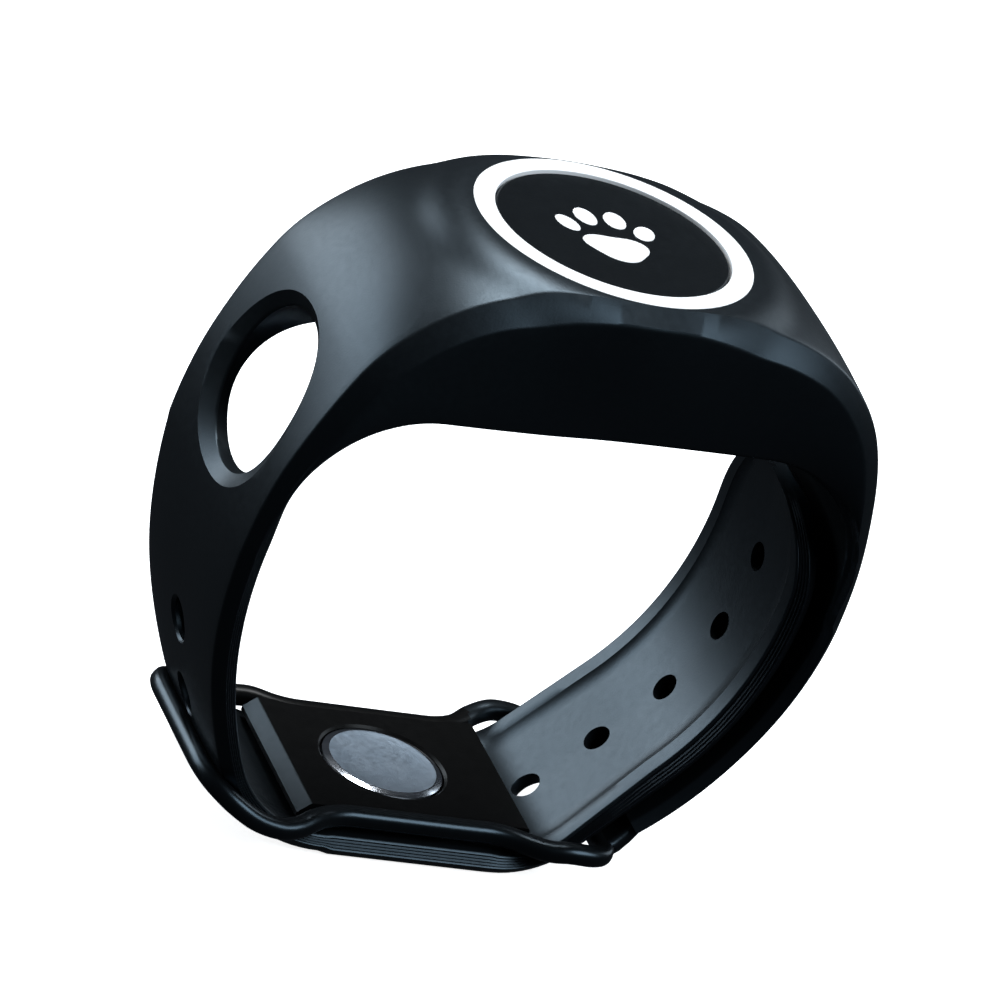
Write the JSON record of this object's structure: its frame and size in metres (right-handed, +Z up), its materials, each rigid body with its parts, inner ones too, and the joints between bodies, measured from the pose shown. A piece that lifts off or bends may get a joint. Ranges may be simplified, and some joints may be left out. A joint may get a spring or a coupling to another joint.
{
  "type": "wristband clicker trainer",
  "caption": "Wristband clicker for pet training: a domed silicone head with a ringed press button, an oval opening beside it, and a studded pass-through clasp.",
  "frame": {"origin": "on the ground under the middle of the band, which stands on its lowest strap run", "axes": "+Z up along the button's axis, +X along the head towards the short strap, +Y along the wrist"},
  "size_m": [0.059, 0.03, 0.0609],
  "materials": {
    "silicone": "matte moulded silicone with a soft cool sheen",
    "clasp_black": "fine-grained moulded black with smooth rounded edges",
    "stud_steel": "bead-blasted face with a polished bevel",
    "ring_white": "plain white",
    "button_black": "finely textured black",
    "mark_white": "plain white inlay",
    "nylon": "natural nylon",
    "capsule_plastic": "moulded dark grey",
    "gasket_rubber": "soft red-brown rubber",
    "spring_steel": "rolled spring steel",
    "brass_block": "machined",
    "screw_steel": "zinc plated"
  },
  "bodies": {
    "band": {"band_head": "silicone", "left_strap": "silicone", "underpass_strap": "silicone", "short_strap": "silicone", "clasp_plate": "clasp_black", "stud_cap": "stud_steel", "stud_post": "stud_steel", "stud_washer": "stud_steel", "ring_bezel": "ring_white", "capsule_cover": "capsule_plastic", "capsule_base": "capsule_plastic", "cover_gasket": "gasket_rubber", "leaf_root": "spring_steel", "leaf_block": "brass_block", "leaf_rivets": "brass_block", "stop_pad": "gasket_rubber", "capsule_screws": "screw_steel"},
    "button": {"button_cap": "button_black", "paw_mark": "mark_white", "plunger_tip": "nylon"},
    "leaf": {"click_leaf": "spring_steel"},
    "tail": {"strap_tail": "silicone"}
  },
  "joints": [
    {"name": "button_press", "type": "slide", "parent": "band", "child": "button", "axis": [0, 0, -1], "range_m": [0, 0.001], "stiffness_N_per_m": 2500, "springref_m": -0.0005},
    {"name": "leaf_snap", "type": "hinge", "parent": "band", "child": "leaf", "pos_m": [0.0055, 0, 0.0526], "axis": [0, -1, 0], "range_deg": [0, 12]},
    {"name": "tail_flex", "type": "hinge", "parent": "band", "child": "tail", "pos_m": [0.01168, 0, 0.00502], "axis": [0, -1, 0], "range_deg": [0, 30], "stiffness_Nm_per_rad": 0.03}
  ],
  "couplings": [
    {"joint": "leaf_snap", "follows": "button_press", "rad_per_m": 197}
  ]
}
